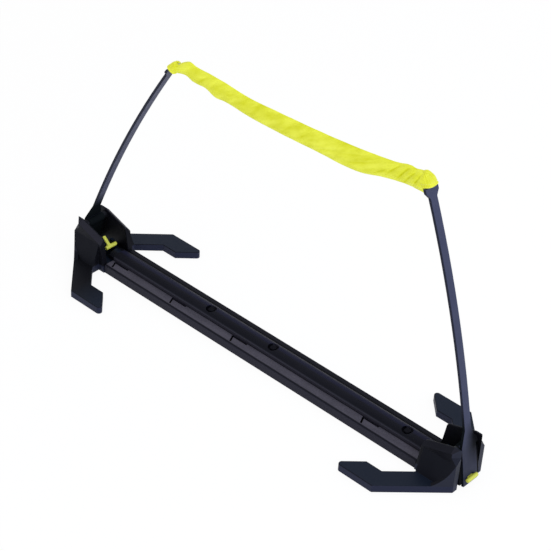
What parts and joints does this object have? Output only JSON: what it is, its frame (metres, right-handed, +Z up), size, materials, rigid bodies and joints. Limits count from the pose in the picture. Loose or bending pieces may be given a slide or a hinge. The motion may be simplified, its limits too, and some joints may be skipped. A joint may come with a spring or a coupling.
{
  "type": "speed hurdle",
  "caption": "Low training hurdle: floor rail with slotted end brackets and cranked feet, bowed hinged arms on rubber return straps, and a bright gathered fabric band between the arm heads.",
  "frame": {"origin": "on the floor under the middle of the rail", "axes": "+X along the rail, +Y across it to the rear, +Z up"},
  "size_m": [0.6242, 0.1736, 0.3492],
  "materials": {
    "rail_plastic": "satin moulded, fine texture on the ledges",
    "bracket_plastic": "satin moulded",
    "spacer_plastic": "plain moulded",
    "arm_plastic": "satin",
    "steel": "zinc plated",
    "strap_rubber": "moulded rubber",
    "band_fabric": "smooth woven polyester",
    "elastic_fabric": "woven elastic"
  },
  "bodies": {
    "base": {"base_rail": "rail_plastic", "left_bracket": "bracket_plastic", "right_bracket": "bracket_plastic", "left_bracket_screws": "steel", "right_bracket_screws": "steel", "left_hinge_pin": "steel", "right_hinge_pin": "steel", "left_hinge_spacers": "spacer_plastic", "right_hinge_spacers": "spacer_plastic", "left_return_strap": "strap_rubber", "right_return_strap": "strap_rubber"},
    "left_arm": {"left_arm": "arm_plastic", "left_band_loop": "band_fabric"},
    "right_arm": {"right_arm": "arm_plastic", "right_band_loop": "band_fabric"},
    "band": {"band_sleeve": "band_fabric", "band_elastic": "elastic_fabric"}
  },
  "joints": [
    {"name": "left_arm_hinge", "type": "hinge", "parent": "base", "child": "left_arm", "pos_m": [-0.29, 0, 0.047], "axis": [0, 1, 0], "range_deg": [0, 36], "stiffness_Nm_per_rad": 1.2, "springref_deg": -20.05, "deforming": ["left_return_strap"]},
    {"name": "right_arm_hinge", "type": "hinge", "parent": "base", "child": "right_arm", "pos_m": [0.29, 0, 0.047], "axis": [0, -1, 0], "range_deg": [0, 47], "stiffness_Nm_per_rad": 1.2, "springref_deg": -20.05, "deforming": ["right_return_strap"]},
    {"name": "band_swivel", "type": "hinge", "parent": "left_arm", "child": "band", "pos_m": [-0.15649, 0, 0.31911], "axis": [0, 1, 0], "range_deg": [-33, 0], "deforming": ["band_sleeve", "band_elastic"]}
  ],
  "couplings": [
    {"joint": "right_arm_hinge", "follows": "left_arm_hinge", "ratio": 1.3},
    {"joint": "band_swivel", "follows": "left_arm_hinge", "ratio": -0.913}
  ]
}
